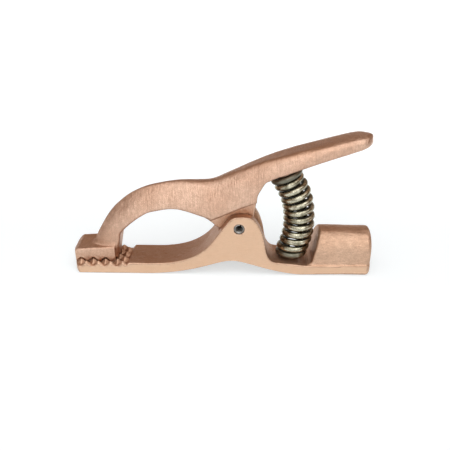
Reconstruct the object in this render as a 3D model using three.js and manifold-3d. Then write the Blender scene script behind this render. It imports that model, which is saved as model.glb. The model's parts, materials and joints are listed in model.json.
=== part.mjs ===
// Spring-loaded ground clamp for a welding return cable: two cast copper-alloy jaws on a slotted
// roll pin, a compression spring behind the pivot and a ball-point screw that grips the cable.
//
// Units are millimetres. +X runs from the jaw tips to the cable socket, +Y is across the clamp and
// +Z is up. The clamp stands on its base with the origin under the middle of its length.
import * as THREE from 'three';
import { mergeVertices } from 'three/addons/utils/BufferGeometryUtils.js';
import Module from 'manifold-3d';

const wasm = await Module();
wasm.setup();

// ---------------------------------------------------------------- driving dimensions
const LENGTH = 187.5;
const TIP = -LENGTH / 2; // jaw tips
const END = LENGTH / 2; // mouth of the cable socket
const CLEARANCE = 0.3; // between pieces that touch

const PIVOT = new THREE.Vector2(11.7, 31);
const PIN_RADIUS = 3.175; // quarter-inch roll pin
const PIN_WALL = 1;
const PIN_SLOT = 1.1;
const PIN_SLOT_ANGLE = 70; // degrees from +X to the slot, seen from the front

// lower casting
const LOWER_HALF_WIDTH = 14;
const BASE_THICKNESS = 7.2; // the plate under the spring and the socket
const JAW_THICKNESS = 7.3; // the plate behind the teeth
const ARCH_HEIGHT = 9.5; // the underside's rise under the pivot
const TIP_RADIUS = 24; // the tips' rounding seen from above
const END_CORNER = 3.5; // the socket end's corners seen from above
const EAR_TOP = 38.8;
const SLOT_HALF_WIDTH = 7.4; // the gap between the ears
const SLOT_RADIUS = 10.8;

// cable socket
const SOCKET_RADIUS = 13;
const SOCKET_CENTRE = 15.3;
const SOCKET_START = 59.7;
const BORE_RADIUS = 7.5;
const BORE_DEPTH = 31;
const SCREW_X = 78;
const SCREW_RADIUS = 6;
const SCREW_HOLE_RADIUS = SCREW_RADIUS + CLEARANCE;
const SCREW_BOTTOM = 0.8;
const SCREW_LENGTH = 11.5;
const HEX_ACROSS_FLATS = 6;
const HEX_DEPTH = 5;

// teeth: diamond pyramids in staggered rows, with the upper ones between the lower ones
const TOOTH_PITCH_X = 7.7;
const TOOTH_PITCH_Y = 7;
const TOOTH_HEIGHT = 3.4;
const TOOTH_ROOT = 5; // level of the lower teeth's roots
const ROOT_FLAT = 0.15; // the valleys are filled to this depth
const TOOTH_GAP = 0.4; // between the closed rows of teeth
const FIRST_TOOTH_X = -84.5;
const FIRST_TOOTH_Y = -12.25;
const TEETH_END = -57.6;

// upper casting
const PAD_HALF_WIDTH = 9.5;
const PAD_END = -66.3;
const PAD_TOP_AT_TIP = 15.7;
const PAD_TOP_AT_END = 17.2;
const PAD_LEAN = 0.12; // the top's rise for each millimetre across the clamp
const NECK_HALF_WIDTH = 11.8;
const TONGUE_HALF_WIDTH = 7.1;
const TONGUE_RADIUS = 9.6;
const PIN_BORE_RADIUS = PIN_RADIUS + CLEARANCE;

// spring
const WIRE_RADIUS = 1.9;
const COIL_RADIUS = 7.95;
const END_FLARE = 0.45; // the last turn's extra radius
const TURNS = 11.75;
const CLOSED_TURNS = 1.1; // flat turns at each end
const BOW_REACH = 14; // how far the active coils keep to the lean that they start with
const LEAN_AT_BOTTOM = 26;
const LEAN_AT_TOP = 39;
const FAN_START = 0.28; // the share of the active coils where they begin to tip, and where they stop
const FAN_END = 0.88;
const SEAT_BOSS_RADIUS = 5.4; // pegs that stand inside the end coils
const SEAT_BOSS_HEIGHT = 3.5;
const SEAT_PAD_RADIUS = 9.6;
const LOWER_SEAT = { x: 44.8, z: 7.8, tilt: THREE.MathUtils.degToRad(-5.5) };
const UPPER_SEAT = { x: 39.4, z: 63.3, tilt: THREE.MathUtils.degToRad(20) };

const CAST_COPPER = { color: 0xc98e6c, roughness: 0.42, metalness: 1 };
const SPRING_STEEL = { color: 0x8e8878, roughness: 0.3, metalness: 1 };
const PIN_STEEL = { color: 0x77746f, roughness: 0.38, metalness: 1 };

// ---------------------------------------------------------------- solids and booleans
function solid(geometry) {
  geometry.deleteAttribute('normal');
  geometry.deleteAttribute('uv');
  const merged = mergeVertices(geometry, 1e-5);
  return new wasm.Manifold(new wasm.Mesh({
    numProp: 3,
    vertProperties: merged.attributes.position.array,
    triVerts: new Uint32Array(merged.index.array),
  }));
}

function piece(name, shape, look) {
  const { vertProperties, triVerts } = shape.getMesh();
  const geometry = new THREE.BufferGeometry();
  geometry.setAttribute('position', new THREE.BufferAttribute(vertProperties, 3));
  geometry.setIndex(new THREE.BufferAttribute(triVerts, 1));
  geometry.computeVertexNormals();
  const mesh = new THREE.Mesh(geometry, new THREE.MeshStandardMaterial(look));
  mesh.name = name;
  return mesh;
}

// A side view, drawn in X and Z, given its width along Y.
function sideExtrusion(shape, halfWidth, curveSegments = 10) {
  const depth = 2 * halfWidth;
  const geometry = new THREE.ExtrudeGeometry(shape, { depth, bevelEnabled: false, curveSegments });
  return solid(geometry.rotateX(Math.PI / 2).translate(0, halfWidth, 0));
}

// An end view, drawn in Y and Z, given its length along X.
function endExtrusion(shape, start, end, curveSegments = 12) {
  const options = { depth: end - start, bevelEnabled: false, curveSegments };
  const geometry = new THREE.ExtrudeGeometry(shape, options);
  const toEndView = new THREE.Matrix4().makeBasis(
    new THREE.Vector3(0, 1, 0),
    new THREE.Vector3(0, 0, 1),
    new THREE.Vector3(1, 0, 0),
  );
  return solid(geometry.applyMatrix4(toEndView).translate(start, 0, 0));
}

// A top view, drawn in X and Y, given its height along Z.
function planExtrusion(shape, bottom, top, curveSegments = 12) {
  const options = { depth: top - bottom, bevelEnabled: false, curveSegments };
  return solid(new THREE.ExtrudeGeometry(shape, options).translate(0, 0, bottom));
}

function box(x0, x1, y0, y1, z0, z1) {
  const geometry = new THREE.BoxGeometry(x1 - x0, y1 - y0, z1 - z0);
  return solid(geometry.translate((x0 + x1) / 2, (y0 + y1) / 2, (z0 + z1) / 2));
}

function crossPin(radius, halfLength, segments = 24) {
  const geometry = new THREE.CylinderGeometry(radius, radius, 2 * halfLength, segments);
  return solid(geometry.translate(PIVOT.x, 0, PIVOT.y));
}

// A cylinder that stands on a spring seat, from one height to another along the seat's normal.
function onSeat(seat, radius, from, to, segments = 24) {
  const geometry = new THREE.CylinderGeometry(radius, radius, to - from, segments);
  geometry.rotateX(Math.PI / 2).translate(0, 0, (from + to) / 2);
  return solid(geometry.rotateY(-seat.tilt).translate(seat.x, 0, seat.z));
}

// ---------------------------------------------------------------- teeth
// One face of a jaw: pyramids that point up or down from their root level.
function teeth(root, direction, firstX, columns, halfWidth) {
  const buried = 0.6;
  const height = TOOTH_HEIGHT + buried;
  const spread = height / TOOTH_HEIGHT;
  const pyramids = [];
  const rows = Math.round(2 * -FIRST_TOOTH_Y / (TOOTH_PITCH_Y / 2)) + 1;
  for (let row = 0; row < rows; row += 1) {
    const y = FIRST_TOOTH_Y + row * TOOTH_PITCH_Y / 2;
    if (Math.abs(y) > halfWidth) continue;
    const x0 = firstX - (row % 2) * direction * TOOTH_PITCH_X / 2;
    for (let column = 0; column < columns; column += 1) {
      const pyramid = new THREE.ConeGeometry(1, height, 4);
      pyramid.rotateX(direction * Math.PI / 2);
      pyramid.scale(spread * TOOTH_PITCH_X / 2, spread * TOOTH_PITCH_Y / 2, 1);
      const z = root + direction * (height / 2 - buried);
      pyramids.push(solid(pyramid.translate(x0 + column * TOOTH_PITCH_X, y, z)));
    }
  }
  return wasm.Manifold.union(pyramids);
}

// The jaws' outline seen from above: straight sides, a rounded tip and cornered at its end.
function jawPlan(halfWidth, end, corner = 0) {
  const sweep = Math.asin(halfWidth / TIP_RADIUS);
  const plan = new THREE.Shape();
  plan.absarc(TIP + TIP_RADIUS, 0, TIP_RADIUS, Math.PI - sweep, Math.PI + sweep, false);
  plan.lineTo(end - corner, -halfWidth);
  if (corner) plan.quadraticCurveTo(end, -halfWidth, end, corner - halfWidth);
  plan.lineTo(end, halfWidth - corner);
  if (corner) plan.quadraticCurveTo(end, halfWidth, end - corner, halfWidth);
  return plan;
}

// ---------------------------------------------------------------- lower casting
function lowerSideView() {
  const rise = ARCH_HEIGHT;
  const side = new THREE.Shape();
  side.moveTo(TIP, 0);
  side.lineTo(-50, 0);
  side.bezierCurveTo(-15, 0, -3, rise, 7.5, rise);
  side.bezierCurveTo(17, rise, 33, 0, 58, 0);
  side.lineTo(END - 5.5, 0);
  side.quadraticCurveTo(END, 0, END, 5.5);
  side.lineTo(END, BASE_THICKNESS);
  side.lineTo(54, BASE_THICKNESS - 0.5);
  side.lineTo(35, 8.5);
  side.bezierCurveTo(31, 9.1, 29, 12.5, 28, 19);
  side.bezierCurveTo(26.8, 26.5, 25.3, 30.5, 22.8, 34.5);
  side.bezierCurveTo(20.3, 38.4, 17.5, EAR_TOP, 13.7, EAR_TOP);
  side.bezierCurveTo(9.3, EAR_TOP, 6.6, 38.1, 4.2, 34.8);
  side.lineTo(-4, 23.2);
  side.bezierCurveTo(-9, 16.5, -18, JAW_THICKNESS, -42, JAW_THICKNESS);
  side.lineTo(TEETH_END, JAW_THICKNESS);
  side.lineTo(TEETH_END - 2, TOOTH_ROOT + ROOT_FLAT);
  side.lineTo(TIP, TOOTH_ROOT + ROOT_FLAT);
  return side;
}

// The socket's block from the side, with the fillet that joins it to the spring's floor.
function socketSideView() {
  const top = SOCKET_CENTRE + SOCKET_RADIUS;
  const side = new THREE.Shape();
  side.moveTo(SOCKET_START - 5.4, 3);
  side.lineTo(END, 3);
  side.lineTo(END, top - 3);
  side.quadraticCurveTo(END, top, END - 3, top);
  side.lineTo(SOCKET_START + 1.9, top);
  side.lineTo(SOCKET_START - 2, 11.5);
  side.quadraticCurveTo(SOCKET_START - 2.6, BASE_THICKNESS, SOCKET_START - 5.4, BASE_THICKNESS);
  return side;
}

function socketEndView() {
  const end = new THREE.Shape();
  end.moveTo(-SOCKET_RADIUS, 3);
  end.lineTo(SOCKET_RADIUS, 3);
  end.absarc(0, SOCKET_CENTRE, SOCKET_RADIUS, 0, Math.PI, false);
  return end;
}

function slotBetweenEars() {
  const slot = crossPin(SLOT_RADIUS, SLOT_HALF_WIDTH, 36);
  const w = SLOT_HALF_WIDTH;
  const above = box(-3.4, 45, -w, w, 27.2, 45);
  const behind = box(PIVOT.x, 45, -w, w, PIVOT.y - SLOT_RADIUS, 45);
  return slot.add(above).add(behind);
}

function cableBore() {
  const end = new THREE.Shape().absarc(0, SOCKET_CENTRE, BORE_RADIUS, 0, 2 * Math.PI, false);
  return endExtrusion(end, END - BORE_DEPTH, END + 1, 14);
}

function screwHole() {
  const hole = new THREE.CylinderGeometry(SCREW_HOLE_RADIUS, SCREW_HOLE_RADIUS, 16, 24);
  return solid(hole.rotateX(Math.PI / 2).translate(SCREW_X, 0, 7));
}

function lowerJaw() {
  const plan = planExtrusion(jawPlan(LOWER_HALF_WIDTH, END, END_CORNER), -1, EAR_TOP + 1);
  const socket = sideExtrusion(socketSideView(), LOWER_HALF_WIDTH)
    .intersect(endExtrusion(socketEndView(), 40, END + 1));
  const lowerTeeth = teeth(TOOTH_ROOT, 1, FIRST_TOOTH_X, 4, LOWER_HALF_WIDTH);
  return sideExtrusion(lowerSideView(), LOWER_HALF_WIDTH)
    .subtract(slotBetweenEars())
    .add(socket)
    .add(lowerTeeth)
    .add(onSeat(LOWER_SEAT, SEAT_BOSS_RADIUS, -2, SEAT_BOSS_HEIGHT))
    .intersect(plan)
    .subtract(crossPin(PIN_RADIUS + CLEARANCE, LOWER_HALF_WIDTH + 1))
    .subtract(cableBore())
    .subtract(screwHole());
}

// ---------------------------------------------------------------- upper casting
// Stations along the arm and the handle: the top and bottom of the section in X and Z, its half
// width, how far up its widest level lies, and how square its upper half is.
const STATIONS = [
  { top: [-82.2, 14.5], bottom: [-66, 12], halfWidth: 5.6, widest: 0.4, square: 1.8 },
  { top: [-76.5, 26.5], bottom: [-63, 22.5], halfWidth: 5.8, widest: 0.4, square: 1.8 },
  { top: [-69.5, 37], bottom: [-57.5, 29.5], halfWidth: 6.8, widest: 0.36, square: 1.75 },
  { top: [-58.5, 47.5], bottom: [-50, 35.5], halfWidth: 8.1, widest: 0.36, square: 1.75 },
  { top: [-46, 53.7], bottom: [-41.5, 39.4], halfWidth: 9.2, widest: 0.34, square: 1.75 },
  { top: [-32, 57.3], bottom: [-30.5, 41.4], halfWidth: 9.8, widest: 0.32, square: 1.75 },
  { top: [-18, 58.2], bottom: [-17.5, 39.6], halfWidth: 10.6, widest: 0.36, square: 1.8 },
  { top: [-6, 59.2], bottom: [-4.5, 35.5], halfWidth: 11.4, widest: 0.42, square: 1.85 },
  { top: [5.5, 63.8], bottom: [9, 43], halfWidth: 11.8, widest: 0.42, square: 1.9 },
  { top: [17, 69], bottom: [21.5, 52], halfWidth: 11.8, widest: 0.45, square: 2.1 },
  { top: [28.5, 73.8], bottom: [31, 61.4], halfWidth: 12.4, widest: 0.5, square: 2.4 },
  { top: [41, 77.9], bottom: [43, 65.9], halfWidth: 13.1, widest: 0.6, square: 2.8 },
  { top: [54, 81.2], bottom: [56, 70.9], halfWidth: 12.4, widest: 0.66, square: 3.2 },
  { top: [67.5, 84.4], bottom: [69, 75.5], halfWidth: 12, widest: 0.68, square: 3.2 },
  { top: [78.5, 86.4], bottom: [80, 79.1], halfWidth: 11.8, widest: 0.66, square: 3.2 },
  { top: [84.5, 87.3], bottom: [85.5, 80.9], halfWidth: 11.3, widest: 0.6, square: 2.8 },
  { top: [89, 87.3], bottom: [89.3, 82.3], halfWidth: 8, widest: 0.5, square: 2.4 },
];
const SQUARE_BELOW = 3.2; // the lower half's squareness
const SECTION_SIDES = 20;
const STEPS_PER_STATION = 2;

function throughStations(pick) {
  return new THREE.CatmullRomCurve3(STATIONS.map((s) => new THREE.Vector3(...pick(s))));
}

// A round bar bent and squashed to the stations. Its axis runs along the casting, its own +Z
// points to the section's top and its +X across the clamp.
function armAndHandle() {
  const top = throughStations((s) => [s.top[0], 0, s.top[1]]);
  const bottom = throughStations((s) => [s.bottom[0], 0, s.bottom[1]]);
  const form = throughStations((s) => [s.halfWidth, s.widest, s.square]);
  const steps = (STATIONS.length - 1) * STEPS_PER_STATION;
  const bar = new THREE.CylinderGeometry(1, 1, 1, SECTION_SIDES, steps);
  const points = bar.attributes.position;
  for (let i = 0; i < points.count; i += 1) {
    const along = THREE.MathUtils.clamp(points.getY(i) + 0.5, 0, 1);
    const across = points.getX(i);
    const up = points.getZ(i);
    const { x: halfWidth, y: widest, z: squareTop } = form.getPoint(along);
    const power = 2 / (up > 0 ? squareTop : SQUARE_BELOW);
    const high = top.getPoint(along);
    const low = bottom.getPoint(along);
    const middle = low.clone().lerp(high, widest);
    const reach = Math.abs(up) ** power;
    const place = middle.clone().lerp(up > 0 ? high : low, reach);
    place.y = -halfWidth * Math.sign(across) * Math.abs(across) ** power;
    points.setXYZ(i, place.x, place.y, place.z);
  }
  return solid(bar);
}

// The deep part of the casting between the arm and the handle, above the shoulder.
function neckSideView() {
  const side = new THREE.Shape();
  side.moveTo(-4.2, 36.9);
  side.lineTo(22.3, 47);
  side.bezierCurveTo(22.3, 54.6, 24.6, 59, 30, 61.6);
  side.lineTo(28, 63);
  side.lineTo(8, 52);
  side.lineTo(-5, 45);
  side.lineTo(-8, 42);
  return side;
}

// The tongue that runs between the ears and turns on the pin.
function tongueSideView() {
  const side = new THREE.Shape();
  side.moveTo(-3, 30);
  side.quadraticCurveTo(0.5, 28.4, 3.2, 26.6);
  side.absarc(PIVOT.x, PIVOT.y, TONGUE_RADIUS, -2.66, -0.2, false);
  side.lineTo(20.8, 38);
  side.lineTo(22.3, 47);
  side.lineTo(22.3, 52);
  side.lineTo(-10, 46);
  side.lineTo(-10, 35.5);
  side.quadraticCurveTo(-5.4, 33, -3, 30);
  return side;
}

// The toothed pad: upright sides, a rounded tip and a flat, leaning top that the arm rises from.
function pad() {
  const root = TOOTH_ROOT + TOOTH_HEIGHT + TOOTH_GAP;
  const side = new THREE.Shape();
  side.moveTo(TIP, root - ROOT_FLAT);
  side.lineTo(PAD_END, root - ROOT_FLAT);
  side.lineTo(PAD_END, PAD_TOP_AT_END + 2);
  side.lineTo(TIP + 5, PAD_TOP_AT_TIP + 2);
  side.lineTo(TIP + 1, PAD_TOP_AT_TIP - 1.2);
  side.lineTo(TIP, PAD_TOP_AT_TIP - 3.4);
  const plan = planExtrusion(jawPlan(PAD_HALF_WIDTH, PAD_END), 0, PAD_TOP_AT_END + 2);
  const slope = (PAD_TOP_AT_END - PAD_TOP_AT_TIP) / (PAD_END - TIP);
  const belowTop = new THREE.BoxGeometry(80, 40, 40).translate(0, 0, -20)
    .applyMatrix4(new THREE.Matrix4().makeShear(0, slope, 0, PAD_LEAN, 0, 0))
    .translate(TIP, 0, PAD_TOP_AT_TIP);
  const firstX = FIRST_TOOTH_X - TOOTH_PITCH_X / 2;
  return sideExtrusion(side, PAD_HALF_WIDTH)
    .intersect(solid(belowTop))
    .add(teeth(root, -1, firstX, 4, PAD_HALF_WIDTH))
    .intersect(plan);
}

function upperJaw() {
  return armAndHandle()
    .add(sideExtrusion(neckSideView(), NECK_HALF_WIDTH))
    .add(sideExtrusion(tongueSideView(), TONGUE_HALF_WIDTH))
    .add(pad())
    .add(onSeat(UPPER_SEAT, SEAT_PAD_RADIUS, CLEARANCE, 8))
    .add(onSeat(UPPER_SEAT, SEAT_BOSS_RADIUS, -SEAT_BOSS_HEIGHT, 2))
    .subtract(crossPin(PIN_BORE_RADIUS, NECK_HALF_WIDTH));
}

// ---------------------------------------------------------------- spring
// The wire's centre line: a coil whose axis bows away from the pivot. The first and last turns
// lie flat on their seats and the ones between tip from one seat's slope to the other's.
class SpringWire extends THREE.Curve {
  constructor() {
    super();
    const lift = 0.6 * WIRE_RADIUS;
    const closed = CLOSED_TURNS * (2 * WIRE_RADIUS + CLEARANCE);
    const [bottom, low] = this.rise(LOWER_SEAT, lift, closed, 1);
    const [top, high] = this.rise(UPPER_SEAT, lift, closed, -1);
    this.ends = { bottom, low, top, high };
    const leaning = (degrees, direction) => new THREE.Vector2(0, direction * BOW_REACH)
      .rotateAround(new THREE.Vector2(), -direction * THREE.MathUtils.degToRad(degrees));
    const afterLow = leaning(LEAN_AT_BOTTOM, 1).add(low);
    const beforeHigh = leaning(LEAN_AT_TOP, -1).add(high);
    this.active = new THREE.CubicBezierCurve(low, afterLow, beforeHigh, high);
  }

  // The centres of the closed turn's two ends, measured along the seat's normal.
  rise(seat, lift, closed, direction) {
    const normal = new THREE.Vector2(-Math.sin(seat.tilt), Math.cos(seat.tilt));
    const at = (height) => new THREE.Vector2(seat.x, seat.z).addScaledVector(normal, direction * height);
    return [at(lift), at(lift + closed)];
  }

  getPoint(t, target = new THREE.Vector3()) {
    const turn = t * TURNS;
    const { bottom, low, top, high } = this.ends;
    const centre = new THREE.Vector2();
    const share = (turn - CLOSED_TURNS) / (TURNS - 2 * CLOSED_TURNS);
    if (share <= 0) centre.lerpVectors(bottom, low, turn / CLOSED_TURNS);
    else if (share >= 1) centre.lerpVectors(high, top, 1 - (TURNS - turn) / CLOSED_TURNS);
    else centre.copy(this.active.getPointAt(share));
    const bend = THREE.MathUtils.smoothstep(share, FAN_START, FAN_END);
    const tilt = THREE.MathUtils.lerp(LOWER_SEAT.tilt, UPPER_SEAT.tilt, bend);
    const last = Math.max(1 - (TURNS - turn) / CLOSED_TURNS, 0);
    const radius = COIL_RADIUS + END_FLARE * last;
    const angle = Math.PI / 2 + 2 * Math.PI * turn;
    const radial = radius * Math.cos(angle);
    return target.set(
      centre.x + radial * Math.cos(tilt),
      radius * Math.sin(angle),
      centre.y + radial * Math.sin(tilt),
    );
  }
}

function spring() {
  const section = new THREE.Shape().absarc(0, 0, WIRE_RADIUS, 0, 2 * Math.PI, false);
  const wire = solid(new THREE.ExtrudeGeometry(section, {
    steps: Math.round(TURNS * 16),
    curveSegments: 4,
    extrudePath: new SpringWire(),
  }));
  const grinder = COIL_RADIUS + 2 * WIRE_RADIUS;
  return wire
    .subtract(onSeat(LOWER_SEAT, grinder, -4, CLEARANCE))
    .subtract(onSeat(UPPER_SEAT, grinder, 0, 4));
}

// ---------------------------------------------------------------- pin and screw
function rollPin() {
  const halfSlot = Math.asin(PIN_SLOT / 2 / PIN_RADIUS);
  const inner = PIN_RADIUS - PIN_WALL;
  const ring = new THREE.Shape();
  ring.absarc(0, 0, PIN_RADIUS, halfSlot, 2 * Math.PI - halfSlot, false);
  ring.absarc(0, 0, inner, 2 * Math.PI - halfSlot, halfSlot, true);
  const halfLength = LOWER_HALF_WIDTH - 0.4;
  return sideExtrusion(ring, halfLength, 24)
    .rotate([0, -PIN_SLOT_ANGLE, 0])
    .translate([PIVOT.x, 0, PIVOT.y]);
}

function cableScrew() {
  const chamfer = 0.8;
  const ball = SCREW_RADIUS - 1.6;
  const shoulder = SCREW_LENGTH - 4.2;
  const profile = new THREE.Path();
  profile.moveTo(0, 0);
  profile.lineTo(SCREW_RADIUS - chamfer, 0);
  profile.lineTo(SCREW_RADIUS, chamfer);
  profile.lineTo(SCREW_RADIUS, shoulder);
  profile.lineTo(ball, shoulder + 1.4);
  profile.quadraticCurveTo(ball * 0.8, SCREW_LENGTH, 0, SCREW_LENGTH);
  const turned = new THREE.LatheGeometry(profile.getPoints(5), 24).rotateX(Math.PI / 2);
  const hexRadius = HEX_ACROSS_FLATS / Math.sqrt(3);
  const hex = new THREE.CylinderGeometry(hexRadius, hexRadius, 2 * HEX_DEPTH, 6);
  return solid(turned)
    .subtract(solid(hex.rotateX(Math.PI / 2)))
    .translate([SCREW_X, 0, SCREW_BOTTOM]);
}

// ---------------------------------------------------------------- the clamp
const clamp = new THREE.Group();
clamp.name = 'ground_clamp';
clamp.add(
  piece('lower_jaw', lowerJaw(), CAST_COPPER),
  piece('upper_jaw', upperJaw(), CAST_COPPER),
  piece('jaw_spring', spring(), SPRING_STEEL),
  piece('pivot_roll_pin', rollPin(), PIN_STEEL),
  piece('cable_screw', cableScrew(), PIN_STEEL),
);

export default clamp;
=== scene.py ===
"""Ground clamp: the looks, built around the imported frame.

Lengths in this script are millimetres in the row frame, and meshes are scaled to metres when they
are made. The two castings are modelled as fields, negative inside the metal, so that their edges
and joins can be rounded as a casting's are, and each field's surface is then meshed.
"""

import json
import math

import bmesh
import bpy
import numpy as np
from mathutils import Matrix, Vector


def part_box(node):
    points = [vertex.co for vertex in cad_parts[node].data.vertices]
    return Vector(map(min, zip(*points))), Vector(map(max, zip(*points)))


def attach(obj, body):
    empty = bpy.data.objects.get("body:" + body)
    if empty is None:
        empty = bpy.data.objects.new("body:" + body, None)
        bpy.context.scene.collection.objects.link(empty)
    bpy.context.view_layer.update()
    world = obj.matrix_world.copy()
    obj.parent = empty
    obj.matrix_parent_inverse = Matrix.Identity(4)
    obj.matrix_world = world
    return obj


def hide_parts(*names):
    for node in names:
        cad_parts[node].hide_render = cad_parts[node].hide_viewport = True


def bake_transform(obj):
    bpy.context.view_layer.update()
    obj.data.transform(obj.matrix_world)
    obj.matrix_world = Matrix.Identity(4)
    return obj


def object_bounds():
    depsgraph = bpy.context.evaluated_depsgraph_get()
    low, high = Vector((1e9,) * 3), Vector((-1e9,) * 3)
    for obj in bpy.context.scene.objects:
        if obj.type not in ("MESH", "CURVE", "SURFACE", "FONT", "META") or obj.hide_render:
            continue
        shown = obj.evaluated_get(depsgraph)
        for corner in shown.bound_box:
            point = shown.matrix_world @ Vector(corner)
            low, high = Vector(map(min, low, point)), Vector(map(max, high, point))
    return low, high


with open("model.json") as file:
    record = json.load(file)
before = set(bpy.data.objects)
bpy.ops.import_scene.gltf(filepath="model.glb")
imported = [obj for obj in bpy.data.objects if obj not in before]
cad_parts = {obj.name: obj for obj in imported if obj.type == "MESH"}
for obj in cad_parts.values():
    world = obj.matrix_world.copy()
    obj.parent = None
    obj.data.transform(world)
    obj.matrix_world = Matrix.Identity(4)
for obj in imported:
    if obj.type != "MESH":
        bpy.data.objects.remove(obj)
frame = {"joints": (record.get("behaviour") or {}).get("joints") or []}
cad_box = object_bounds()

MM = 0.001

# ------------------------------------------------------------------ dimensions
TIP = cad_box[0][0] / MM
END = cad_box[1][0] / MM
HALF_WIDTH = cad_box[1][1] / MM
JOINT = {joint["name"]: joint for joint in frame["joints"]}
PIVOT_X, _, PIVOT_Z = (v / MM for v in JOINT["jaw_pivot"]["pos_m"])
PIN_LOW, PIN_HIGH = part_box("pivot_roll_pin")
SCREW_LOW, SCREW_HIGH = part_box("cable_screw")

JAW_THICKNESS = 7.3
BASE_THICKNESS = 7.2
ARCH_HEIGHT = 9.5
TIP_RADIUS = 24
EAR_TOP = 38.75
SLOT_HALF_WIDTH = 7.4
SLOT_RADIUS = 10.8

SOCKET_RADIUS = 13
SOCKET_CENTRE = 15.3
SOCKET_START = 59.7
BORE_RADIUS = 7.5
BORE_DEPTH = 31

TOOTH_PITCH_X = 7.7
TOOTH_PITCH_Y = 7
TOOTH_HEIGHT = 3.4
TOOTH_ROOT = 5
TOOTH_GAP = 0.4
FIRST_TOOTH_X = -84.5
FIRST_TOOTH_Y = -12.25
TOOTH_ROWS = 8
TOOTH_COLUMNS = 4
TEETH_END = -57.6

PAD_HALF_WIDTH = 9.5
PAD_END = -66.3
PAD_TOP_AT_TIP = 15.7
PAD_TOP_AT_END = 17.2
PAD_LEAN = 0.12
TONGUE_HALF_WIDTH = 7.1
TONGUE_RADIUS = 9.6

WIRE_RADIUS = 1.9
COIL_RADIUS = 7.95
END_FLARE = 0.45
TURNS = 11.75
CLOSED_TURNS = 1.1
FIRST_ANGLE = math.pi / 2
FAN_START, FAN_END = 0.28, 0.88
LEAN_LOW, LEAN_HIGH, BOW_REACH = math.radians(26), math.radians(39), 14
SEAT_GAP = 0.3
PEG_RADIUS = 5.4
PEG_HEIGHT = 3.5
LOWER_SEAT = (44.8, 7.8, math.radians(-5.5))
UPPER_SEAT = (39.4, 63.3, math.radians(20))
SEAT_PAD_RADIUS = 9.6

PIN_RADIUS = (PIN_HIGH[2] - PIN_LOW[2]) / 2 / MM
PIN_HOLE = PIN_RADIUS + 0.12
PIN_WALL = 1
PIN_SLOT = 1.1
PIN_SLOT_ANGLE = math.radians(70)
PIN_CHAMFER = 0.45

SCREW_X = (SCREW_LOW[0] + SCREW_HIGH[0]) / 2 / MM
SCREW_RADIUS = (SCREW_HIGH[0] - SCREW_LOW[0]) / 2 / MM
SCREW_HOLE = SCREW_RADIUS + 0.15
SCREW_HOLE_TOP = 12
THREAD_PITCH = 1.75
THREAD_DEPTH = 0.55
BALL_RADIUS = SCREW_RADIUS - 1.6
BALL_LENGTH = 4.2
HEX_ACROSS_FLATS = 6
HEX_DEPTH = 5

# The height above the steep teeth, times this, is nearly a distance.
TEETH_GRADIENT = 0.7
AS_CAST = 0.12  # how deep the castings' waviness goes


# ------------------------------------------------------------------ outlines
def bezier(start, c1, c2, end, steps=14):
    """Points along a cubic Bezier curve, without its first point."""
    t = np.linspace(0, 1, steps + 1)[1:, None]
    a, b, c, d = (np.array(p, float) for p in (start, c1, c2, end))
    return list((1 - t) ** 3 * a + 3 * t * (1 - t) ** 2 * b + 3 * t**2 * (1 - t) * c + t**3 * d)


def quadratic(start, control, end, steps=10):
    a, b, c = (np.array(p, float) for p in (start, control, end))
    return bezier(a, a + (b - a) * 2 / 3, c + (b - c) * 2 / 3, c, steps)


def arc(centre, radius, first, last, steps=24):
    angle = np.linspace(first, last, steps + 1)
    return list(np.stack([centre[0] + radius * np.cos(angle), centre[1] + radius * np.sin(angle)], 1))


def smooth_line(points, steps=8):
    """A Catmull-Rom curve through points."""
    p = np.array(points, float)
    p = np.vstack([2 * p[0] - p[1], p, 2 * p[-1] - p[-2]])
    t = np.linspace(0, 1, steps, endpoint=False)[:, None]
    spans = []
    for a, b, c, d in zip(p, p[1:], p[2:], p[3:]):
        spans.append(0.5 * (2 * b + (c - a) * t + (2 * a - 5 * b + 4 * c - d) * t**2
                            + (3 * b - a - 3 * c + d) * t**3))
    return list(np.vstack(spans)) + [p[-2]]


def lower_side_view():
    rise = ARCH_HEIGHT
    points = [(TIP, 0), (-50, 0)]
    points += bezier((-50, 0), (-15, 0), (-3, rise), (7.5, rise))
    points += bezier((7.5, rise), (17, rise), (33, 0), (58, 0))
    points += [(END - 5.5, 0)]
    points += quadratic((END - 5.5, 0), (END, 0), (END, 5.5), 6)
    points += [(END, BASE_THICKNESS), (54, BASE_THICKNESS - 0.5), (35, 8.5)]
    points += bezier((35, 8.5), (31, 9.1), (29, 12.5), (28, 19))
    points += bezier((28, 19), (26.8, 26.5), (25.3, 30.5), (22.8, 34.5))
    points += bezier((22.8, 34.5), (20.3, 38.4), (17.5, EAR_TOP), (13.7, EAR_TOP))
    points += bezier((13.7, EAR_TOP), (9.3, EAR_TOP), (6.6, 38.1), (4.2, 34.8))
    points += [(-4, 23.2)]
    points += bezier((-4, 23.2), (-9, 16.5), (-18, JAW_THICKNESS), (-42, JAW_THICKNESS), 20)
    points += [(TEETH_END, JAW_THICKNESS), (TEETH_END - 2, TOOTH_ROOT), (TIP, TOOTH_ROOT)]
    return points


def socket_side_view():
    top = SOCKET_CENTRE + SOCKET_RADIUS
    foot, low = SOCKET_START - 2, (SOCKET_START - 5.4, BASE_THICKNESS)
    points = [(low[0], 3), (END, 3), (END, top), (SOCKET_START + 1.9, top), (foot, 11.5)]
    points += quadratic((foot, 11.5), (foot - 0.6, BASE_THICKNESS), low)
    return points


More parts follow.
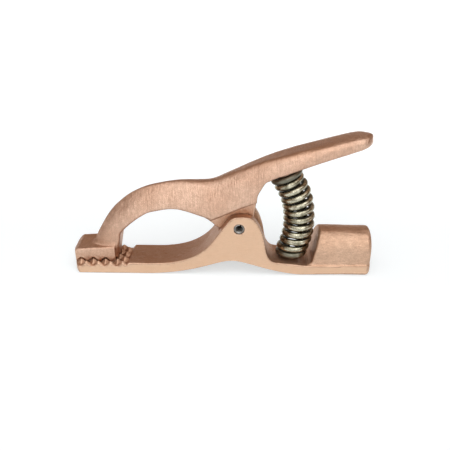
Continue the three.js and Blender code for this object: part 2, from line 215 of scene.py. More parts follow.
def jaw_plan(half_width, end, corner=0.0):
    """A jaw seen from above, in X and Y: a rounded tip, straight sides and cornered at its end."""
    sweep = math.asin(half_width / TIP_RADIUS)
    points = arc((TIP + TIP_RADIUS, 0), TIP_RADIUS, math.pi - sweep, math.pi + sweep, 16)
    points += [(end - corner, -half_width)]
    points += quadratic((end - corner, -half_width), (end, -half_width), (end, corner - half_width), 6)
    points += [(end, half_width - corner)]
    points += quadratic((end, half_width - corner), (end, half_width), (end - corner, half_width), 6)
    return points


RIDGE = [(-84, 8), (-78.5, 22.5), (-69.5, 37), (-61.5, 45), (-53.5, 50.5), (-42, 55), (-25, 57.8),
         (-6.5, 58.3), (6, 63.1), (31.5, 73.4), (75, 86), (88, 87.2), (91, 87.2)]
UNDERSIDE = [(-66, 6), (-63.5, 19.5), (-62.5, 24), (-57.5, 29.5), (-49, 36), (-41.5, 39.5),
             (-26.5, 41.5), (-8.5, 36.5), (-4, 35.5), (15, 46), (23.5, 54), (27, 60), (30.5, 61.5),
             (51, 69), (85, 80.5), (91, 82)]
ARM_HALF_WIDTH = [(-90, 5.4), (-78, 5.6), (-68, 6.8), (-52, 8.5), (-36, 9.7), (-17, 10.6), (-5, 11.4),
                  (8, 11.8), (20, 11.8), (41, 13.1), (54, 12.4), (79, 11.8), (82.8, 11.4), (85.6, 10),
                  (87.6, 7.6), (89.2, 4), (89.9, 0)]
# How far the top falls from its ridge to its sides, how broad the ridge's crown is for the section's
# width, and how flat the top stays beside it.
FALL_X = (-80, -60, -33, -15, -6, 6, 18, 28, 38, 46, 53, 60, 90)
FALL = (5, 8.5, 11, 9.9, 9.6, 9.4, 9.4, 9, 6.8, 4.9, 3.5, 2.4, 1.8)
CROWN = (0.3, 0.25, 0.42, 0.7, 0.75, 0.75, 0.85, 1, 1.5, 2, 2, 2, 2)
FLATNESS = (1, 1, 1.15, 1.35, 1.4, 1.5, 2.3, 2.9, 3.2, 3, 2.5, 1.8, 1.6)


def neck_side_view():
    points = [(-4.2, 36.9), (22.3, 47)]
    points += bezier((22.3, 47), (22.3, 54.6), (24.6, 59), (30, 61.6))
    points += [(28, 65.5), (8, 59), (-5, 50), (-8, 42)]
    return points


def tongue_side_view():
    points = [(-3, 30)]
    points += quadratic((-3, 30), (0.5, 28.4), (3.2, 26.6))
    points += arc((PIVOT_X, PIVOT_Z), TONGUE_RADIUS, -2.66, -0.2)
    points += [(20.8, 38), (22.3, 47), (22.3, 52), (-10, 46), (-10, 35.5)]
    points += quadratic((-10, 35.5), (-5.4, 33), (-3, 30), 6)
    return points


# ------------------------------------------------------------------ fields
def inside_outline(points, u, v):
    """Distance to a closed outline in two coordinates, negative inside it."""
    p = np.array(points, float)
    nearest = np.full(np.broadcast(u, v).shape, np.inf)
    within = np.zeros(nearest.shape, bool)
    for (ax, ay), (bx, by) in zip(p, np.roll(p, -1, 0)):
        ex, ey = bx - ax, by - ay
        length = ex * ex + ey * ey
        if length < 1e-12:
            continue
        t = np.clip(((u - ax) * ex + (v - ay) * ey) / length, 0, 1)
        nearest = np.minimum(nearest, (u - ax - t * ex) ** 2 + (v - ay - t * ey) ** 2)
        if ay != by:
            crosses = ((ay > v) != (by > v)) & (u < ax + (v - ay) * ex / ey)
            within = within ^ crosses
    return np.where(within, -1.0, 1.0) * np.sqrt(nearest)


def meet(a, b, r):
    """What is inside both fields, with the edge between them rounded to radius r."""
    u = np.maximum(a + r, 0)
    v = np.maximum(b + r, 0)
    return np.minimum(-r, np.maximum(a, b)) + np.hypot(u, v)


def join(a, b, r):
    """What is inside either field, with a fillet of radius r between them."""
    return -meet(-a, -b, r)


def cut(a, b, r):
    """Field a less field b, with the new edge rounded to radius r."""
    return meet(a, -b, r)


def on_seat(seat, x, z):
    """A point's distance along a spring seat, and its height above it."""
    sx, sz, tilt = seat
    along = (x - sx) * math.cos(tilt) + (z - sz) * math.sin(tilt)
    height = (z - sz) * math.cos(tilt) - (x - sx) * math.sin(tilt)
    return along, height


def tooth_height(x, y, first_x):
    """How high the staggered pyramids stand above their roots."""
    height = np.zeros(np.broadcast(x, y).shape)
    for parity in (0, 1):
        x0 = first_x - parity * TOOTH_PITCH_X / 2
        y0 = FIRST_TOOTH_Y + parity * TOOTH_PITCH_Y / 2
        column = np.clip(np.round((x - x0) / TOOTH_PITCH_X), 0, TOOTH_COLUMNS - 1)
        row = np.clip(np.round((y - y0) / TOOTH_PITCH_Y), 0, TOOTH_ROWS // 2 - 1)
        across = np.abs(x - x0 - column * TOOTH_PITCH_X) / TOOTH_PITCH_X
        along = np.abs(y - y0 - row * TOOTH_PITCH_Y) / TOOTH_PITCH_Y
        blunt = 0.13
        slope = np.sqrt((2 * (across + along)) ** 2 + blunt**2)
        height = np.maximum(height, TOOTH_HEIGHT * (1 - slope))
    return height


def unevenness(x, y, z):
    """The slow waviness of a sand casting, from 0 to 1."""
    wave = np.sin(0.31 * x + 1.3 * np.sin(0.23 * z) + 0.4 * y)
    wave = wave + np.sin(0.47 * z + 1.1 * np.sin(0.19 * x) - 0.35 * y + 1.7)
    wave = wave + 0.6 * np.sin(0.83 * x - 0.71 * z + 0.9 * y + 0.4)
    return wave / 5.2 + 0.5


def from_pin(x, z):
    return np.hypot(x - PIVOT_X, z - PIVOT_Z)


def spring_peg(seat, x, y, z):
    along, height = on_seat(seat, x, z)
    return meet(np.hypot(along, y) - PEG_RADIUS, np.abs(height) - PEG_HEIGHT, 0.7)


def cable_socket(x, y, z):
    tube = np.hypot(y, np.maximum(z - SOCKET_CENTRE, 0)) - SOCKET_RADIUS
    return meet(tube, inside_outline(SOCKET_SIDE, x, z), np.interp(x, (70, 85), (1.6, 3)))


def lower_teeth(x, y, z, plan):
    floor = TOOTH_ROOT + tooth_height(x, y, FIRST_TOOTH_X)
    above = np.maximum((z - floor) * TEETH_GRADIENT, x - TEETH_END)
    return meet(above, np.maximum(plan, 1 - z), 0.5)


def lower_field(x, y, z):
    plan = inside_outline(LOWER_PLAN, x, y)
    metal = meet(inside_outline(LOWER_SIDE, x, z), plan, 0.8)
    metal = join(metal, cable_socket(x, y, z), 0.7)
    metal = np.maximum(metal, meet(plan, -z, np.interp(x, (35, 75), (1.1, 3))))
    metal = np.minimum(metal, lower_teeth(x, y, z, plan))
    metal = join(metal, spring_peg(LOWER_SEAT, x, y, z), 0.6)
    slot = np.minimum(from_pin(x, z) - SLOT_RADIUS, inside_outline(SLOT_ABOVE, x, z))
    metal = cut(metal, np.maximum(slot, np.abs(y) - SLOT_HALF_WIDTH), 0.7)
    metal = cut(metal, from_pin(x, z) - PIN_HOLE, 0.25)
    bore = np.maximum(np.hypot(y, z - SOCKET_CENTRE) - BORE_RADIUS, END - BORE_DEPTH - x)
    metal = cut(metal, bore, 0.9)
    metal = cut(metal, np.maximum(np.hypot(x - SCREW_X, y) - SCREW_HOLE, z - SCREW_HOLE_TOP), 0.5)
    inward = np.clip((HALF_WIDTH - np.abs(y)) / 1.5, 0.1, 1)
    return metal + AS_CAST * inward * unevenness(x, y, z)


def crowned_top(x, y, z):
    """Distance to the bar's top, which falls from its ridge to its sides."""
    width = np.interp(x, *np.transpose(ARM_HALF_WIDTH)) + 0.01
    fall, crown, flat = (np.interp(x, FALL_X, row) for row in (FALL, CROWN, FLATNESS))
    share = np.abs(y) / width
    whole = np.hypot(1, crown) - crown
    fallen = np.maximum(np.hypot(share, crown) - crown, 1e-9) / whole
    drop = fall * fallen**flat
    slope = fall / width * flat * fallen ** (flat - 1) * share / np.hypot(share, crown) / whole
    return (inside_outline(UNDER_TOP, x, z) + drop) / np.hypot(1, slope)


def toothed_pad(x, y, z, teeth):
    side = inside_outline(PAD_SIDE, x, z - PAD_LEAN * y)
    return meet(meet(side, inside_outline(PAD_PLAN, x, y), 0.8), teeth, 0.4)


def upper_field(x, y, z):
    shoulder = np.interp(x, (-60, -45, -15, 5, 20, 30), (2.5, 5, 6, 6, 4, 2))
    bar = meet(inside_outline(ARM_PLAN, x, y), crowned_top(x, y, z), shoulder)
    metal = meet(bar, inside_outline(OVER_BOTTOM, x, z), 1.8)
    metal = join(metal, meet(inside_outline(NECK_SIDE, x, z), bar, 1.2), 1.5)
    tongue = meet(inside_outline(TONGUE_SIDE, x, z), np.abs(y) - TONGUE_HALF_WIDTH, 0.7)
    metal = join(metal, tongue, 0.6)
    root = TOOTH_ROOT + TOOTH_HEIGHT + TOOTH_GAP
    level = root - tooth_height(x, y, FIRST_TOOTH_X - TOOTH_PITCH_X / 2)
    teeth = (level - z) * TEETH_GRADIENT
    metal = np.maximum(join(metal, toothed_pad(x, y, z, teeth), 2.6), teeth)
    along, height = on_seat(UPPER_SEAT, x, z)
    seat = meet(np.hypot(along, y) - SEAT_PAD_RADIUS, np.maximum(SEAT_GAP - height, height - 8), 0.6)
    metal = join(metal, seat, 1.2)
    metal = join(metal, spring_peg(UPPER_SEAT, x, y, z), 0.5)
    metal = cut(metal, from_pin(x, z) - PIN_HOLE, 0.4)
    return metal + AS_CAST * unevenness(x + 40, y, z)


LOWER_SIDE = lower_side_view()
LOWER_PLAN = jaw_plan(HALF_WIDTH, END, 3.5)
SOCKET_SIDE = socket_side_view()
SLOT_ABOVE = [(-3.4, 27.2), (PIVOT_X, 27.2), (PIVOT_X, PIVOT_Z - SLOT_RADIUS),
              (45, PIVOT_Z - SLOT_RADIUS), (45, 45), (-3.4, 45)]
ARM_PLAN = smooth_line(ARM_HALF_WIDTH, 6)
ARM_PLAN = ARM_PLAN + [(px, -py) for px, py in reversed(ARM_PLAN[:-1])]
UNDER_TOP = smooth_line(RIDGE) + [(110, 80), (110, -20), (-84, -20)]
OVER_BOTTOM = smooth_line(UNDERSIDE) + [(110, 86), (110, 120), (-120, 120), (-120, 6)]
NECK_SIDE = neck_side_view()
TONGUE_SIDE = tongue_side_view()
PAD_SIDE = [(TIP, 2), (PAD_END, 2), (PAD_END, PAD_TOP_AT_END), (TIP + 3.5, PAD_TOP_AT_TIP),
            (TIP + 1, PAD_TOP_AT_TIP - 1.2), (TIP, PAD_TOP_AT_TIP - 3.4)]
PAD_PLAN = jaw_plan(PAD_HALF_WIDTH, PAD_END)


# ------------------------------------------------------------------ meshes
def crossings(inside, values, axis):
    """The grid edges along one axis that cross the surface, and how far along each it crosses."""
    first = [slice(None)] * 3
    second = [slice(None)] * 3
    first[axis] = slice(0, -1)
    second[axis] = slice(1, None)
    first, second = tuple(first), tuple(second)
    found = np.argwhere(inside[first] != inside[second])
    one = values[first][tuple(found.T)]
    two = values[second][tuple(found.T)]
    return found, one / (one - two), one < 0


def surface(field, low, high, step):
    """Points and quads of a field's surface, by surface nets on a cubic grid."""
    start = np.array(low, float) - 2 * step
    count = np.ceil((np.array(high) + 2 * step - start) / step).astype(int) + 1
    axes = [start[i] + step * np.arange(count[i]) for i in range(3)]
    values = field(axes[0][:, None, None], axes[1][None, :, None], axes[2][None, None, :])
    inside = values < 0
    strides = np.array([count[1] * count[2], count[2], 1])
    cells, places, quads = [], [], []
    for axis in range(3):
        b, c = (axis + 1) % 3, (axis + 2) % 3
        found, share, leaving = crossings(inside, values, axis)
        point = found.astype(float)
        point[:, axis] += share
        ring = []
        for back_b, back_c in ((0, 0), (1, 0), (1, 1), (0, 1)):
            cell = found.copy()
            cell[:, b] -= back_b
            cell[:, c] -= back_c
            ring.append(cell @ strides)
            places.append(point)
        cells += ring
        quad = np.stack(ring, 1)
        quads.append(np.where(leaving[:, None], quad, quad[:, ::-1]))
    cells, places, quads = np.concatenate(cells), np.concatenate(places), np.concatenate(quads)
    names, index = np.unique(cells, return_inverse=True)
    total = np.bincount(index)
    vertices = np.stack([np.bincount(index, places[:, i]) / total for i in range(3)], 1)
    return start + step * vertices, np.searchsorted(names, quads)


def vertex_normals(points, quads):
    p = points[quads]
    face = np.cross(p[:, 2] - p[:, 0], p[:, 3] - p[:, 1])
    normal = np.zeros_like(points)
    for corner in range(4):
        for i in range(3):
            normal[:, i] += np.bincount(quads[:, corner], face[:, i], len(points))
    return normal / np.maximum(np.linalg.norm(normal, axis=1, keepdims=True), 1e-12)


def new_piece(name, points, faces, attributes=None):
    mesh = bpy.data.meshes.new(name)
    mesh.from_pydata((np.asarray(points) * MM).tolist(), [], np.asarray(faces).tolist())
    for label, value in (attributes or {}).items():
        layer = mesh.attributes.new(label, "FLOAT", "POINT")
        layer.data.foreach_set("value", np.asarray(value, np.float32))
    mesh.shade_smooth()
    mesh.update()
    piece = bpy.data.objects.new(name, mesh)
    bpy.context.scene.collection.objects.link(piece)
    return piece


def casting(name, field, low, high, flat_side):
    """A field's surface as a piece, its points drawn onto the field, with four measures of every
    point for the material: how far it stands out at an edge, how deep it lies in a corner, whether
    it is on a side that was ground flat and how much metal stands in front of it."""
    points, quads = surface(field, low, high, 0.5)
    for _ in range(2):
        normal = vertex_normals(points, quads)
        points = points - np.clip(field(*points.T), -0.3, 0.3)[:, None] * normal
    normal = vertex_normals(points, quads)
    edge = np.clip(field(*(points - 1.2 * normal).T) / 1.2 + 1, 0, 1)
    # corner: how deep a point lies in a hollow; the material paints shade there
    corner = np.zeros(len(points))
    for reach, share in ((1.2, 1.0), (4.0, 0.5)):
        corner = np.maximum(corner, share * (1 - field(*(points + reach * normal).T) / reach))
    ground = (np.abs(normal[:, 1]) > 0.97) & (np.abs(points[:, 1]) > flat_side)
    # sheltered: how much metal stands in front of a point; the material paints shade there
    shelter_shade = np.zeros(len(points))
    for reach in (9, 18, 30):
        probe = (points + reach * normal).T
        clear = np.minimum(lower_field(*probe), upper_field(*probe)) / reach
        shelter_shade = np.maximum(shelter_shade, 1 - clear)
    return new_piece(name, points, quads, {"edge": edge, "corner": corner, "ground": ground,
                                           "shelter_shade": np.minimum(shelter_shade, 1)})


def lower_jaw():
    low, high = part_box("lower_jaw")
    return casting("lower_jaw_casting", lower_field, low / MM, high / MM, HALF_WIDTH - 0.3)


def upper_jaw():
    low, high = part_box("upper_jaw")
    return casting("upper_jaw_casting", upper_field, low / MM, high / MM, HALF_WIDTH)


def seat_point(seat, height):
    sx, sz, tilt = seat
    return np.array([sx - height * math.sin(tilt), sz + height * math.cos(tilt)])


def coil_axis(samples=400):
    """Centres of the active coils: a Bezier curve that bows away from the pivot, evenly spaced."""
    closed = CLOSED_TURNS * (2 * WIRE_RADIUS + SEAT_GAP)
    lift = 0.6 * WIRE_RADIUS
    low, high = seat_point(LOWER_SEAT, lift + closed), seat_point(UPPER_SEAT, -lift - closed)
    after = low + BOW_REACH * np.array([math.sin(LEAN_LOW), math.cos(LEAN_LOW)])
    before = high + BOW_REACH * np.array([math.sin(LEAN_HIGH), -math.cos(LEAN_HIGH)])
    curve = np.vstack([low, bezier(low, after, before, high, samples)])
    travelled = np.concatenate([[0], np.cumsum(np.linalg.norm(np.diff(curve, axis=0), axis=1))])
    even = np.linspace(0, travelled[-1], samples + 1)
    axis = np.stack([np.interp(even, travelled, curve[:, i]) for i in (0, 1)], 1)
    return seat_point(LOWER_SEAT, lift), axis, seat_point(UPPER_SEAT, -lift)


def spring_wire(steps_per_turn):
    """Points of the wire's centre line, with how far each is through the active coils."""
    bottom, axis, top = coil_axis()
    turn = np.linspace(0, TURNS, round(TURNS * steps_per_turn) + 1)
    share = (turn - CLOSED_TURNS) / (TURNS - 2 * CLOSED_TURNS)
    fan = np.clip(share, 0, 1)
    stations = np.linspace(0, 1, len(axis))
    centre = np.stack([np.interp(fan, stations, axis[:, i]) for i in (0, 1)], 1)
    first = np.clip(1 - turn / CLOSED_TURNS, 0, 1)[:, None]
    last = np.clip(1 - (TURNS - turn) / CLOSED_TURNS, 0, 1)[:, None]
    centre += first * (bottom - axis[0]) + last * (top - axis[-1])
    bend = np.clip((fan - FAN_START) / (FAN_END - FAN_START), 0, 1)
    tilt = LOWER_SEAT[2] + (UPPER_SEAT[2] - LOWER_SEAT[2]) * bend**2 * (3 - 2 * bend)
    angle = FIRST_ANGLE + 2 * math.pi * turn
    radius = COIL_RADIUS + END_FLARE * last[:, 0]
    radial = radius * np.cos(angle)
    line = np.stack([centre[:, 0] + radial * np.cos(tilt), radius * np.sin(angle),
                     centre[:, 1] + radial * np.sin(tilt)], 1)
    outward = np.stack([np.cos(angle) * np.cos(tilt), np.sin(angle), np.cos(angle) * np.sin(tilt)], 1)
    return line, outward, fan


def spring():
    sides = 20
    line, outward, fan = spring_wire(56)
    forward = np.gradient(line, axis=0)
    forward /= np.linalg.norm(forward, axis=1, keepdims=True)
    outward -= (outward * forward).sum(1, keepdims=True) * forward
    outward /= np.linalg.norm(outward, axis=1, keepdims=True)
    upward = np.cross(forward, outward)
    angle = np.linspace(0, 2 * math.pi, sides, endpoint=False)
    ring = np.cos(angle)[None, :, None] * outward[:, None] + np.sin(angle)[None, :, None] * upward[:, None]
    points = line[:, None] + WIRE_RADIUS * ring
    for seat, sign in ((LOWER_SEAT, 1), (UPPER_SEAT, -1)):
        grind(points, seat, sign)
    rings = len(line)
    k = np.arange(rings - 1)[:, None] * sides
    i = np.arange(sides)
    j = (i + 1) % sides
    quads = np.stack([k + i, k + sides + i, k + sides + j, k + j], -1).reshape(-1, 4)
    facing = np.tile(np.cos(angle), rings)
    turns = np.linspace(0, TURNS, rings)
    # how near a point is to either end turn; the material darkens there with dull scale and painted shade
    scale = np.clip(1.1 - np.minimum(turns * 1.3, TURNS - turns), 0, 1)
    piece = new_piece("jaw_spring_coil", points.reshape(-1, 3), quads,
                      {"outward": facing, "scale": np.repeat(scale, sides)})
    close_ends(piece)
    return piece, np.repeat(fan, sides)


def grind(points, seat, sign):
    """Presses the part of the wire that stands past a seat flat onto it, as a ground end is."""
    sx, sz, tilt = seat
    height = (points[..., 2] - sz) * math.cos(tilt) - (points[..., 0] - sx) * math.sin(tilt)
    under = np.minimum(sign * height - SEAT_GAP, 0) * sign
    points[..., 0] += under * math.sin(tilt)
    points[..., 2] -= under * math.cos(tilt)


def close_ends(piece):
    mesh = bmesh.new()
    mesh.from_mesh(piece.data)
    bmesh.ops.holes_fill(mesh, edges=[e for e in mesh.edges if e.is_boundary], sides=0)
    bmesh.ops.recalc_face_normals(mesh, faces=mesh.faces)
    mesh.to_mesh(piece.data)
    mesh.free()
    piece.data.shade_smooth()


def lathe_rings(profile, segments):
    """Points and quads of a profile of (radius, height) turned about the Z axis."""
    angle = np.linspace(0, 2 * math.pi, segments, endpoint=False)
    profile = np.array(profile, float)
    points = np.stack([profile[:, :1] * np.cos(angle), profile[:, :1] * np.sin(angle),
                       np.repeat(profile[:, 1:], segments, 1)], -1).reshape(-1, 3)
    k = np.arange(len(profile) - 1)[:, None] * segments
    i = np.arange(segments)
    j = (i + 1) % segments
    return points, np.stack([k + i, k + j, k + segments + j, k + segments + i], -1).reshape(-1, 4)


def roll_pin():
    """A rolled steel pin: a tube with one open seam and a chamfer on each end."""
    outer = PIN_RADIUS + 0.05
    inner = outer - PIN_WALL
    half = (PIN_HIGH[1] - PIN_LOW[1]) / 2 / MM
    half_slot = math.asin(PIN_SLOT / 2 / outer)
    angles = np.linspace(half_slot, 2 * math.pi - half_slot, 65) + PIN_SLOT_ANGLE
    straight, broken, lip = half - PIN_CHAMFER, half - 0.6 * PIN_CHAMFER, outer - 0.55 * PIN_CHAMFER
    loop = [(outer, -straight), (outer, straight), (outer - 0.1, broken), (lip, half),
            (inner, half), (inner, -half), (lip, -half), (outer - 0.1, -broken)]
    points = [(PIVOT_X + r * math.cos(a), s, PIVOT_Z + r * math.sin(a)) for a in angles for r, s in loop]
    n = len(loop)
    faces = []
    for k in range(len(angles) - 1):
        for i in range(n):
            j = (i + 1) % n
            faces.append((k * n + i, k * n + j, (k + 1) * n + j, (k + 1) * n + i))
    faces.append(tuple(range(n)))
    faces.append(tuple(reversed(range((len(angles) - 1) * n, len(angles) * n))))
    piece = new_piece("pivot_roll_pin_sleeve", points, [f for f in faces if len(f) == 4])
    close_ends(piece)
    return piece


def screw_profile(low, high, shoulder):
    """The screw's outline as (radius, height), from its foot up to the top of its ball point."""
    ball = shoulder + 1.2
    profile = [(SCREW_RADIUS - 1.1, low), (SCREW_RADIUS - 0.35, low + 0.7)]
    steps = int((shoulder - low - 1.2) / THREAD_PITCH * 10)
    profile += [(SCREW_RADIUS - 0.1, h) for h in np.linspace(low + 1.0, shoulder - 0.2, steps)]
    profile += [(SCREW_RADIUS - 0.9, shoulder + 0.5), (BALL_RADIUS, ball)]
    for a in np.linspace(0.15, 1, 10) * math.pi / 2:
        profile.append((max(BALL_RADIUS * math.cos(a), 0.02), ball + (high - ball) * math.sin(a)))
    return profile


def cut_thread(points, low, shoulder):
    """Presses a helical groove into the straight part of the screw."""
    angle, height = np.arctan2(points[:, 1], points[:, 0]), points[:, 2]
    start, fade_length = low + 0.9, 0.8
    phase = ((height - low) / THREAD_PITCH - angle / (2 * math.pi)) % 1
    fade = np.clip((height - start) / fade_length, 0, 1) * np.clip((shoulder - height) / fade_length, 0, 1)
    groove = THREAD_DEPTH * (1 - np.abs(2 * phase - 1)) * fade
    reach = np.hypot(points[:, 0], points[:, 1])
    points[:, :2] *= ((reach - groove) / np.maximum(reach, 1e-9))[:, None]


def hexagon_rings(low, segments):
    """The rings of the hexagon socket, inwards: its mouth, the top and foot of its wall, its floor."""
    ring = np.linspace(0, 2 * math.pi, segments, endpoint=False)
    flat = np.cos((ring + math.pi / 6) % (math.pi / 3) - math.pi / 6)
    deep = low + HEX_DEPTH
    rings = []
    for share, height in ((1.12, low), (1.0, low + 0.35), (1.0, deep), (0.02, deep + 1.2)):
        r = HEX_ACROSS_FLATS / 2 / flat * share
        rings.append(np.stack([r * np.cos(ring), r * np.sin(ring), np.full(segments, height)], 1))
    return rings


def cable_screw():
    """A set screw with a rolled thread, a ball point and a hexagon socket in its foot."""
    segments = 48
    low, high = SCREW_LOW[2] / MM, SCREW_HIGH[2] / MM
    shoulder = high - BALL_LENGTH
    points, quads = lathe_rings(screw_profile(low, high, shoulder), segments)
    cut_thread(points, low, shoulder)
    socket = hexagon_rings(low, segments)
    starts = [0] + [len(points) + k * segments for k in range(len(socket))]
    i = np.arange(segments)
    j = (i + 1) % segments
    more = [np.stack([b + i, b + j, a + j, a + i], 1) for a, b in zip(starts, starts[1:])]
    points = np.vstack([points] + socket)
    points[:, 0] += SCREW_X
    piece = new_piece("cable_screw_ball_point", points, np.vstack([quads] + more))
    close_ends(piece)
    return piece


# ------------------------------------------------------------------ materials
class Nodes:
    """A material's node tree, with short ways to add and link nodes."""

    def __init__(self, name):
        self.material = bpy.data.materials.new(name)
        self.material.use_nodes = True
        self.tree = self.material.node_tree
        self.tree.nodes.clear()
        self.shader = self.add("ShaderNodeBsdfPrincipled")
        output = self.add("ShaderNodeOutputMaterial")
        self.link(self.shader.outputs["BSDF"], output.inputs["Surface"])
        self.place = self.add("ShaderNodeTexCoord").outputs["Object"]

    def add(self, kind, **settings):
        node = self.tree.nodes.new(kind)
        for key, value in settings.items():
            setattr(node, key, value)
        return node

    def link(self, output, target):
        self.tree.links.new(output, target)

    def feed(self, target, value):
        if isinstance(value, (int, float, tuple)):
            target.default_value = value
        else:
            self.link(value, target)

    def stretched(self, scale, rotation=(0, 0, 0)):
        mapping = self.add("ShaderNodeMapping")
        mapping.inputs["Scale"].default_value = scale
        mapping.inputs["Rotation"].default_value = rotation
        self.link(self.place, mapping.inputs["Vector"])
        return mapping.outputs["Vector"]

    def noise(self, scale, detail=3, roughness=0.55, vector=None):
        node = self.add("ShaderNodeTexNoise")
        node.inputs["Scale"].default_value = scale
        node.inputs["Detail"].default_value = detail
        node.inputs["Roughness"].default_value = roughness
        self.link(vector or self.place, node.inputs["Vector"])
        return node.outputs["Fac"]

    def ramp(self, value, low, high, out_low=0.0, out_high=1.0):
        node = self.add("ShaderNodeMapRange")
        for key, number in (("From Min", low), ("From Max", high), ("To Min", out_low), ("To Max", out_high)):
            node.inputs[key].default_value = number
        self.link(value, node.inputs["Value"])
        return node.outputs["Result"]

    def math(self, operation, a, b):
        node = self.add("ShaderNodeMath", operation=operation)
        self.feed(node.inputs[0], a)
        self.feed(node.inputs[1], b)
        return node.outputs["Value"]

    def mix(self, share, a, b):
        node = self.add("ShaderNodeMix", data_type="RGBA")
        self.feed(node.inputs["Factor"], share)
        self.feed(node.inputs["A"], a)
        self.feed(node.inputs["B"], b)
        return node.outputs["Result"]

    def attribute(self, name):
        return self.add("ShaderNodeAttribute", attribute_name=name).outputs["Fac"]

    def bump(self, height, strength, distance, normal=None):
        node = self.add("ShaderNodeBump")
        node.inputs["Strength"].default_value = strength
        node.inputs["Distance"].default_value = distance
        self.link(height, node.inputs["Height"])
        if normal:
            self.link(normal, node.inputs["Normal"])
        return node.outputs["Normal"]

    def finish(self, colour, roughness, normal):
        self.feed(self.shader.inputs["Base Color"], colour)
        self.feed(self.shader.inputs["Roughness"], roughness)
        self.link(normal, self.shader.inputs["Normal"])
        self.shader.inputs["Metallic"].default_value = 1.0
        return self.material


GROUND_COPPER = (0.74, 0.505, 0.345, 1)
# painted shade colour for faces that other metal stands in front of
SHELTER_SHADE_COPPER = (0.52, 0.30, 0.19, 1)
RUBBED_COPPER = (0.93, 0.72, 0.56, 1)
# painted shade colour for corners and hollows
CORNER_SHADE_COPPER = (0.46, 0.265, 0.175, 1)
STRAW_STEEL = (0.60, 0.575, 0.45, 1)
PATCHY_STEEL = (0.19, 0.175, 0.12, 1)
SPECKLED_STEEL = (0.20, 0.18, 0.12, 1)
# dull scale with painted shade, for the end turns
END_SCALE_SHADE_GREY = (0.17, 0.165, 0.13, 1)
# painted shade colour for the wire's inner side
INNER_SHADE_STEEL = (0.07, 0.065, 0.045, 1)


def darker(colour, share):
    return tuple(share * c for c in colour[:3]) + (1,)


def cast_copper(name, warm, pale, streaks, dull):
    """Tumbled copper-alloy casting: sandy grain, belt marks across the bar, rubbed edges, painted shade
    in corners and on faces that other metal stands in front of, and paler smoother metal where a side was
    ground flat."""
    n = Nodes(name)
    ground = n.attribute("ground")
    edge = n.ramp(n.attribute("edge"), 0.12, 0.6)
    corner = n.ramp(n.attribute("corner"), 0.15, 0.8)
    clouds = n.ramp(n.noise(60, 4), 0.35, 0.68)
    grain = n.noise(1500, 3, 0.6)
    colour = n.mix(clouds, warm, pale)
    colour = n.mix(n.ramp(n.noise(330, 4, 0.6), 0.42, 0.7, 0.0, 0.55), colour, darker(warm, 0.75))
    colour = n.mix(n.ramp(grain, 0.4, 0.7, 0.0, 0.55), colour, darker(warm, 0.6))
    marks = n.noise(1.0, 3, 0.5, n.stretched(streaks))
    colour = n.mix(n.ramp(marks, 0.42, 0.62, 0.0, 0.4), colour, darker(warm, 0.72))
    colour = n.mix(n.math("MULTIPLY", ground, 0.75), colour, GROUND_COPPER)
    # painted shade where other metal stands in front of a face
    shelter_shade = n.ramp(n.attribute("shelter_shade"), 0.1, 0.75, 0, 0.85)
    colour = n.mix(shelter_shade, colour, SHELTER_SHADE_COPPER)
    colour = n.mix(n.math("MULTIPLY", edge, 0.3), colour, RUBBED_COPPER)
    # painted shade in corners and hollows
    colour = n.mix(n.math("MULTIPLY", corner, 0.5), colour, CORNER_SHADE_COPPER)
    rough = n.ramp(n.noise(240, 4), 0.3, 0.7, dull, dull + 0.14)
    rough = n.math("SUBTRACT", rough, n.math("MULTIPLY", edge, 0.08))
    rough = n.math("ADD", rough, n.math("MULTIPLY", corner, 0.12))
    depth = n.ramp(ground, 0, 1, 1, 0.3)
    sand = n.bump(n.math("MULTIPLY", grain, depth), 0.7, 0.0003)
    peel = n.bump(n.math("MULTIPLY", n.noise(430, 3), depth), 0.6, 0.0006, sand)
    brushed = n.bump(n.math("MULTIPLY", marks, depth), 0.9, 0.0003, peel)
    return n.finish(colour, rough, brushed)


def spring_steel():
    """Drawn spring wire: straw-grey steel in patches, painted shade on the wire's inner side between the
    coils, and dull scale with painted shade on the end turns."""
    n = Nodes("spring_wire_steel")
    patches = n.ramp(n.noise(260, 4, 0.65), 0.4, 0.6)
    colour = n.mix(patches, STRAW_STEEL, PATCHY_STEEL)
    colour = n.mix(n.ramp(n.noise(1100, 3, 0.6), 0.48, 0.72, 0.0, 0.6), colour, SPECKLED_STEEL)
    # dull scale and painted shade on the end turns
    end_turn = n.ramp(n.attribute("scale"), 0.1, 0.5, 0, 0.9)
    colour = n.mix(end_turn, colour, END_SCALE_SHADE_GREY)
    # painted shade on the side of the wire that faces the coil's axis
    inner_shade = n.ramp(n.attribute("outward"), -0.1, 0.75, 1, 0)
    colour = n.mix(n.math("MULTIPLY", inner_shade, 0.9), colour, INNER_SHADE_STEEL)
    rough = n.ramp(n.noise(420, 3), 0.3, 0.7, 0.12, 0.3)
    rough = n.math("ADD", rough, n.math("MULTIPLY", inner_shade, 0.15))
    rough = n.math("ADD", rough, n.math("MULTIPLY", end_turn, 0.2))
    dents = n.bump(n.noise(520, 3), 0.35, 0.0004)
    return n.finish(colour, rough, n.bump(n.noise(2200, 2), 0.25, 0.00015, dents))


def dark_steel(name, colour, low, high):
    n = Nodes(name)
    shade = n.mix(n.ramp(n.noise(700, 3), 0.35, 0.7), colour, darker(colour, 0.6))
    rough = n.ramp(n.noise(900, 3), 0.3, 0.7, low, high)
    return n.finish(shade, rough, n.bump(n.noise(2600, 2), 0.2, 0.0001))


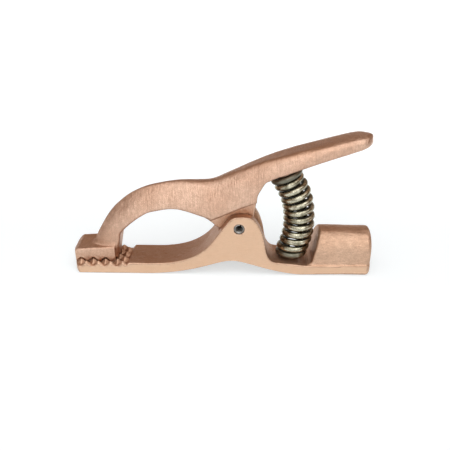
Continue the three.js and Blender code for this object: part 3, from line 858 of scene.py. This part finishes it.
# ------------------------------------------------------------------ the room
def floor():
    """A sheet of white paper, lit a little from beneath, that curves up a little behind the clamp."""
    half, back, rise = 2.0, 1.6, 0.3
    bend = [(y, rise * (1 - math.cos(a))) for a, y in
            ((k * math.pi / 32, back + rise * math.sin(k * math.pi / 32)) for k in range(13))]
    line = [(-half, 0)] + bend
    points = [(x, y, z) for y, z in line for x in (-half, half)]
    faces = [(2 * k, 2 * k + 1, 2 * k + 3, 2 * k + 2) for k in range(len(line) - 1)]
    mesh = bpy.data.meshes.new("studio_floor")
    mesh.from_pydata(points, [], faces)
    mesh.shade_smooth()
    piece = bpy.data.objects.new("studio_floor", mesh)
    bpy.context.scene.collection.objects.link(piece)
    paper = bpy.data.materials.new("studio_paper")
    paper.use_nodes = True
    shader = paper.node_tree.nodes["Principled BSDF"]
    shader.inputs["Base Color"].default_value = (0.58, 0.58, 0.58, 1)
    shader.inputs["Roughness"].default_value = 0.9
    shader.inputs["Specular IOR Level"].default_value = 0.1
    shader.inputs["Emission Color"].default_value = (0.82, 0.94, 1.0, 1)
    shader.inputs["Emission Strength"].default_value = 0.53
    piece.data.materials.append(paper)


def area_light(name, place, target, size, power, colour=(1, 1, 1)):
    data = bpy.data.lights.new(name, "AREA")
    data.shape = "RECTANGLE"
    data.size, data.size_y = size
    data.energy = power
    data.color = colour
    lamp = bpy.data.objects.new(name, data)
    bpy.context.scene.collection.objects.link(lamp)
    lamp.location = place
    aim(lamp, target)


def aim(thing, target):
    direction = Vector(target) - thing.location
    thing.rotation_euler = direction.to_track_quat("-Z", "Y").to_euler()


def camera():
    """A close camera a little above the clamp, square to its side."""
    azimuth, elevation, distance = math.radians(1.5), math.radians(23), 0.3323
    target = np.array([0.00275, 0, 0.028])
    back = np.array([math.sin(azimuth) * math.cos(elevation), -math.cos(azimuth) * math.cos(elevation),
                     math.sin(elevation)])
    data = bpy.data.cameras.new("camera")
    data.sensor_width = 36
    data.lens = 42
    data.clip_start = 0.01
    eye = bpy.data.objects.new("camera", data)
    bpy.context.scene.collection.objects.link(eye)
    eye.location = target + distance * back
    aim(eye, target)
    bpy.context.scene.camera = eye


def room():
    floor()
    cool = (0.93, 0.98, 1.0)
    area_light("front_softbox", (0.15, -1.0, 1.15), (0, 0, 0.03), (2.2, 0.95), 9.7, cool)
    area_light("front_card", (-0.25, -1.7, 0.45), (0, 0, 0.03), (3.7, 0.9), 9.3, cool)
    area_light("highlight_strip", (0.25, -1.5, 0.62), (0, 0, 0.04), (1.6, 0.12), 2.4, cool)
    area_light("top_softbox", (0, -0.2, 1.4), (0, -0.1, 0), (2.6, 1.1), 11.7, cool)
    area_light("backdrop_wash", (0, 0.4, 0.7), (0, 1.6, 0.1), (3.0, 0.4), 16, cool)
    area_light("sweep_wash", (0, 0.8, 0.75), (0, 2.3, 0.1), (3.0, 0.5), 26, cool)
    world = bpy.data.worlds.new("studio")
    world.use_nodes = True
    background = world.node_tree.nodes["Background"]
    background.inputs["Color"].default_value = (0.36, 0.25, 0.19, 1)
    background.inputs["Strength"].default_value = 1.0
    bpy.context.scene.world = world
    bpy.context.scene.view_settings.view_transform = "Standard"


# ------------------------------------------------------------------ the clamp
def dress(piece, material, body, node):
    piece.data.materials.append(material)
    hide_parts(node)
    if body:
        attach(piece, body)


camera()
room()

lower_finish = cast_copper("cast_copper_lower", (0.66, 0.435, 0.305, 1), (0.76, 0.535, 0.39, 1),
                           (260, 260, 1300), 0.4)
upper_finish = cast_copper("cast_copper_upper", (0.67, 0.43, 0.31, 1), (0.78, 0.55, 0.42, 1),
                           (1500, 200, 160), 0.32)
dress(lower_jaw(), lower_finish, "lower_casting", "lower_jaw")
dress(upper_jaw(), upper_finish, "upper_casting", "upper_jaw")
dress(roll_pin(), dark_steel("pin_grey_steel", (0.31, 0.30, 0.285, 1), 0.25, 0.42),
      "lower_casting", "pivot_roll_pin")
dress(cable_screw(), dark_steel("screw_black_oxide", (0.16, 0.155, 0.15, 1), 0.3, 0.45),
      "screw", "cable_screw")

coil, closing = spring()
dress(coil, spring_steel(), None, "jaw_spring")
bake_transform(coil)
